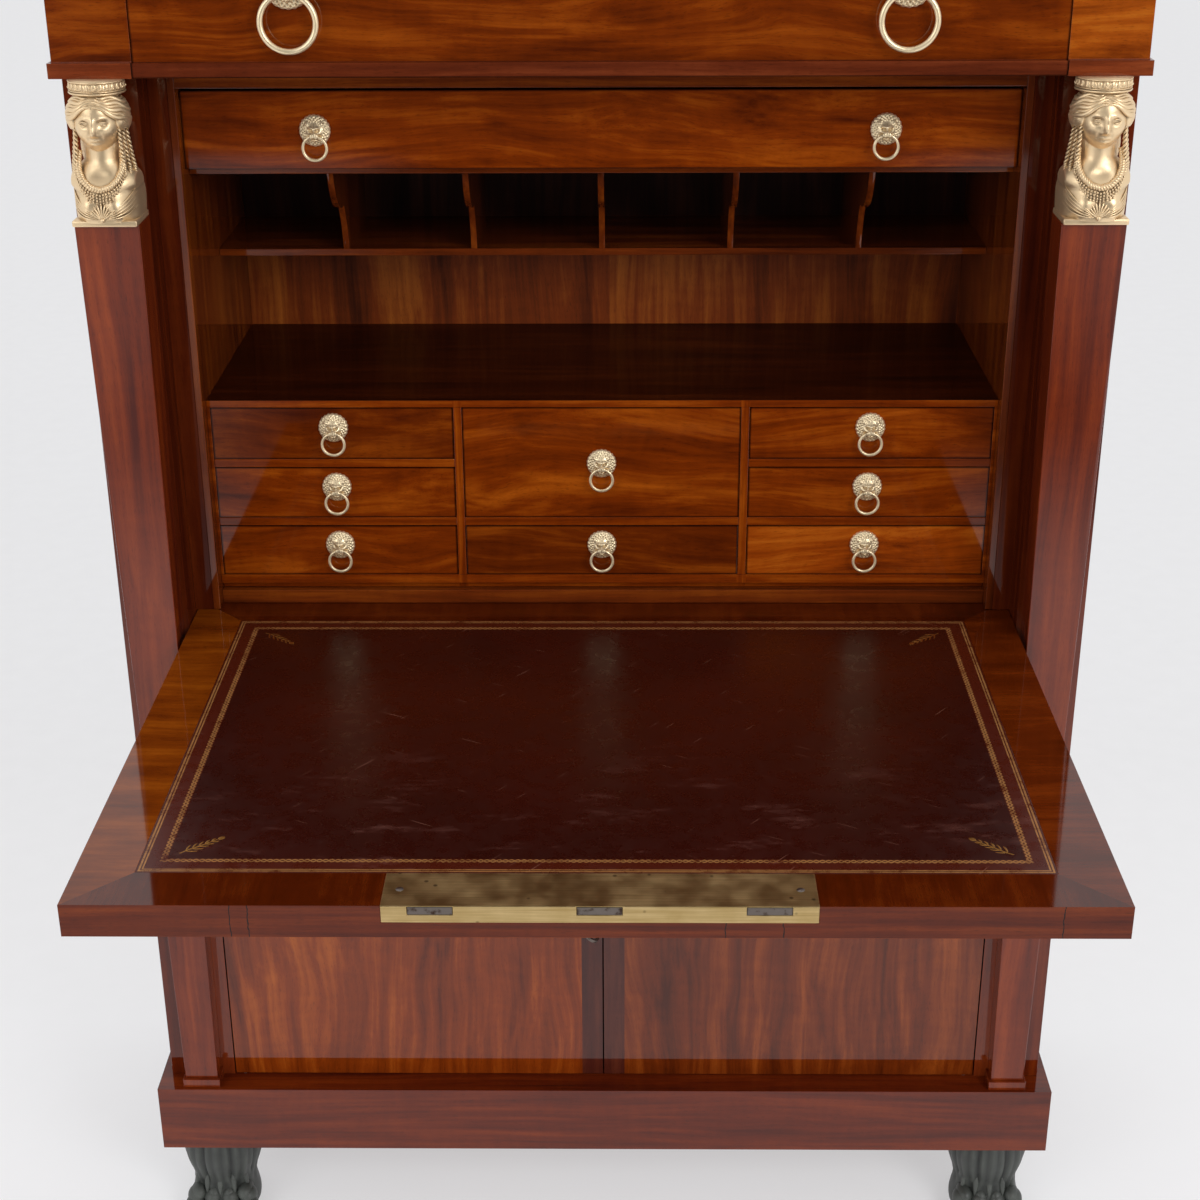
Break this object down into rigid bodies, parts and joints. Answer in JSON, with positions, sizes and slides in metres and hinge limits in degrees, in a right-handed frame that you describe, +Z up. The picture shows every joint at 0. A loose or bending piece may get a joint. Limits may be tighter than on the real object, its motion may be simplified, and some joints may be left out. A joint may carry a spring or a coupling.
{
  "type": "drop front secretary",
  "caption": "Upright writing desk with a drop-down leather-lined leaf, fitted drawers and pigeonholes, frieze drawer, bust pilasters, cupboard doors and paw feet.",
  "frame": {"origin": "centre of the open secretary's footprint, on the floor", "axes": "+Z up, +X to the right of a person facing the front, +Y towards the back"},
  "size_m": [0.994, 0.8906, 1.447],
  "materials": {
    "mahogany": "French polished",
    "marble": "polished",
    "gilt_brass": "polished gilt",
    "gilt_bronze": "matt gilt",
    "lock_brass": "aged",
    "steel": "worn",
    "leather": "polished, gold tooled",
    "ebonised_wood": "ebonised"
  },
  "bodies": {
    "carcass": {"marble_top": "marble", "carcass_sides": "mahogany", "back_panels": "mahogany", "plinth": "mahogany", "paw_feet": "ebonised_wood", "rear_feet": "ebonised_wood", "jambs": "mahogany", "pilasters": "mahogany", "busts": "gilt_bronze", "frieze_blocks": "mahogany", "frieze_boards": "mahogany", "interior_linings": "mahogany", "desk_floor": "mahogany", "pigeonhole_shelf": "mahogany", "pigeonhole_dividers": "mahogany", "drawer_case": "mahogany", "cupboard_boards": "mahogany", "pivot_pins": "steel"},
    "leaf": {"fall_front": "mahogany", "writing_leather": "leather", "lock_case": "lock_brass"},
    "leaf_bolts": {"lock_bolts": "steel"},
    "left_door": {"door_left": "mahogany", "door_lock": "lock_brass"},
    "right_door": {"door_right": "mahogany"},
    "door_key": {"key": "steel"},
    "door_latch": {"door_bolt": "steel"},
    "frieze_drawer": {"frieze_drawer": "mahogany", "frieze_masks": "gilt_brass"},
    "inner_long_drawer": {"inner_long_drawer": "mahogany", "inner_long_masks": "gilt_brass"},
    "drawer_left_top": {"drawer_left_top": "mahogany", "mask_left_top": "gilt_brass"},
    "drawer_left_middle": {"drawer_left_middle": "mahogany", "mask_left_middle": "gilt_brass"},
    "drawer_left_bottom": {"drawer_left_bottom": "mahogany", "mask_left_bottom": "gilt_brass"},
    "drawer_centre_top": {"drawer_centre_top": "mahogany", "mask_centre_top": "gilt_brass"},
    "drawer_centre_bottom": {"drawer_centre_bottom": "mahogany", "mask_centre_bottom": "gilt_brass"},
    "drawer_right_top": {"drawer_right_top": "mahogany", "mask_right_top": "gilt_brass"},
    "drawer_right_middle": {"drawer_right_middle": "mahogany", "mask_right_middle": "gilt_brass"},
    "drawer_right_bottom": {"drawer_right_bottom": "mahogany", "mask_right_bottom": "gilt_brass"},
    "frieze_ring_left": {"frieze_ring_left": "gilt_brass"},
    "inner_long_ring_left": {"inner_long_ring_left": "gilt_brass"},
    "frieze_ring_right": {"frieze_ring_right": "gilt_brass"},
    "inner_long_ring_right": {"inner_long_ring_right": "gilt_brass"},
    "ring_left_top": {"ring_left_top": "gilt_brass"},
    "ring_left_middle": {"ring_left_middle": "gilt_brass"},
    "ring_left_bottom": {"ring_left_bottom": "gilt_brass"},
    "ring_centre_top": {"ring_centre_top": "gilt_brass"},
    "ring_centre_bottom": {"ring_centre_bottom": "gilt_brass"},
    "ring_right_top": {"ring_right_top": "gilt_brass"},
    "ring_right_middle": {"ring_right_middle": "gilt_brass"},
    "ring_right_bottom": {"ring_right_bottom": "gilt_brass"}
  },
  "joints": [
    {"name": "leaf_hinge", "type": "hinge", "parent": "carcass", "child": "leaf", "pos_m": [0, 0.1137, 0.7207], "axis": [1, 0, 0], "range_deg": [-90, 0]},
    {"name": "leaf_bolt_slide", "type": "slide", "parent": "leaf", "child": "leaf_bolts", "axis": [0, -1, 0], "range_m": [0, 0.009]},
    {"name": "left_door_hinge", "type": "hinge", "parent": "carcass", "child": "left_door", "pos_m": [-0.404, 0.0903, 0.1845], "axis": [0, 0, -1], "range_deg": [0, 95]},
    {"name": "right_door_hinge", "type": "hinge", "parent": "carcass", "child": "right_door", "pos_m": [0.404, 0.0903, 0.1845], "axis": [0, 0, 1], "range_deg": [0, 95]},
    {"name": "key_turn", "type": "hinge", "parent": "left_door", "child": "door_key", "pos_m": [-0.01225, 0.0873, 0.381], "axis": [0, 1, 0], "range_deg": [0, 90]},
    {"name": "door_bolt_slide", "type": "slide", "parent": "left_door", "child": "door_latch", "axis": [1, 0, 0], "range_m": [0, 0.008]},
    {"name": "frieze_drawer_slide", "type": "slide", "parent": "carcass", "child": "frieze_drawer", "axis": [0, -1, 0], "range_m": [0, 0.25]},
    {"name": "inner_long_drawer_slide", "type": "slide", "parent": "carcass", "child": "inner_long_drawer", "axis": [0, -1, 0], "range_m": [0, 0.2]},
    {"name": "drawer_left_top_slide", "type": "slide", "parent": "carcass", "child": "drawer_left_top", "axis": [0, -1, 0], "range_m": [0, 0.18]},
    {"name": "drawer_left_middle_slide", "type": "slide", "parent": "carcass", "child": "drawer_left_middle", "axis": [0, -1, 0], "range_m": [0, 0.18]},
    {"name": "drawer_left_bottom_slide", "type": "slide", "parent": "carcass", "child": "drawer_left_bottom", "axis": [0, -1, 0], "range_m": [0, 0.18]},
    {"name": "drawer_centre_top_slide", "type": "slide", "parent": "carcass", "child": "drawer_centre_top", "axis": [0, -1, 0], "range_m": [0, 0.18]},
    {"name": "drawer_centre_bottom_slide", "type": "slide", "parent": "carcass", "child": "drawer_centre_bottom", "axis": [0, -1, 0], "range_m": [0, 0.18]},
    {"name": "drawer_right_top_slide", "type": "slide", "parent": "carcass", "child": "drawer_right_top", "axis": [0, -1, 0], "range_m": [0, 0.18]},
    {"name": "drawer_right_middle_slide", "type": "slide", "parent": "carcass", "child": "drawer_right_middle", "axis": [0, -1, 0], "range_m": [0, 0.18]},
    {"name": "drawer_right_bottom_slide", "type": "slide", "parent": "carcass", "child": "drawer_right_bottom", "axis": [0, -1, 0], "range_m": [0, 0.18]},
    {"name": "frieze_ring_left_swing", "type": "hinge", "parent": "frieze_drawer", "child": "frieze_ring_left", "pos_m": [-0.272, 0.0498, 1.3539], "axis": [-1, 0, 0], "range_deg": [0, 85]},
    {"name": "inner_long_ring_left_swing", "type": "hinge", "parent": "inner_long_drawer", "child": "inner_long_ring_left", "pos_m": [-0.2685, 0.13928, 1.21455], "axis": [-1, 0, 0], "range_deg": [0, 85]},
    {"name": "frieze_ring_right_swing", "type": "hinge", "parent": "frieze_drawer", "child": "frieze_ring_right", "pos_m": [0.272, 0.0498, 1.3539], "axis": [-1, 0, 0], "range_deg": [0, 85]},
    {"name": "inner_long_ring_right_swing", "type": "hinge", "parent": "inner_long_drawer", "child": "inner_long_ring_right", "pos_m": [0.2685, 0.13928, 1.21455], "axis": [-1, 0, 0], "range_deg": [0, 85]},
    {"name": "ring_left_top_swing", "type": "hinge", "parent": "drawer_left_top", "child": "ring_left_top", "pos_m": [-0.2684, 0.13928, 0.9214], "axis": [-1, 0, 0], "range_deg": [0, 85]},
    {"name": "ring_left_middle_swing", "type": "hinge", "parent": "drawer_left_middle", "child": "ring_left_middle", "pos_m": [-0.2684, 0.13928, 0.8585], "axis": [-1, 0, 0], "range_deg": [0, 85]},
    {"name": "ring_left_bottom_swing", "type": "hinge", "parent": "drawer_left_bottom", "child": "ring_left_bottom", "pos_m": [-0.2684, 0.13928, 0.7956], "axis": [-1, 0, 0], "range_deg": [0, 85]},
    {"name": "ring_centre_top_swing", "type": "hinge", "parent": "drawer_centre_top", "child": "ring_centre_top", "pos_m": [0, 0.13928, 0.88345], "axis": [-1, 0, 0], "range_deg": [0, 85]},
    {"name": "ring_centre_bottom_swing", "type": "hinge", "parent": "drawer_centre_bottom", "child": "ring_centre_bottom", "pos_m": [0, 0.13928, 0.7956], "axis": [-1, 0, 0], "range_deg": [0, 85]},
    {"name": "ring_right_top_swing", "type": "hinge", "parent": "drawer_right_top", "child": "ring_right_top", "pos_m": [0.2684, 0.13928, 0.9214], "axis": [-1, 0, 0], "range_deg": [0, 85]},
    {"name": "ring_right_middle_swing", "type": "hinge", "parent": "drawer_right_middle", "child": "ring_right_middle", "pos_m": [0.2684, 0.13928, 0.8585], "axis": [-1, 0, 0], "range_deg": [0, 85]},
    {"name": "ring_right_bottom_swing", "type": "hinge", "parent": "drawer_right_bottom", "child": "ring_right_bottom", "pos_m": [0.2684, 0.13928, 0.7956], "axis": [-1, 0, 0], "range_deg": [0, 85]}
  ],
  "couplings": [
    {"joint": "door_bolt_slide", "follows": "key_turn", "m_per_rad": 0.00509}
  ]
}
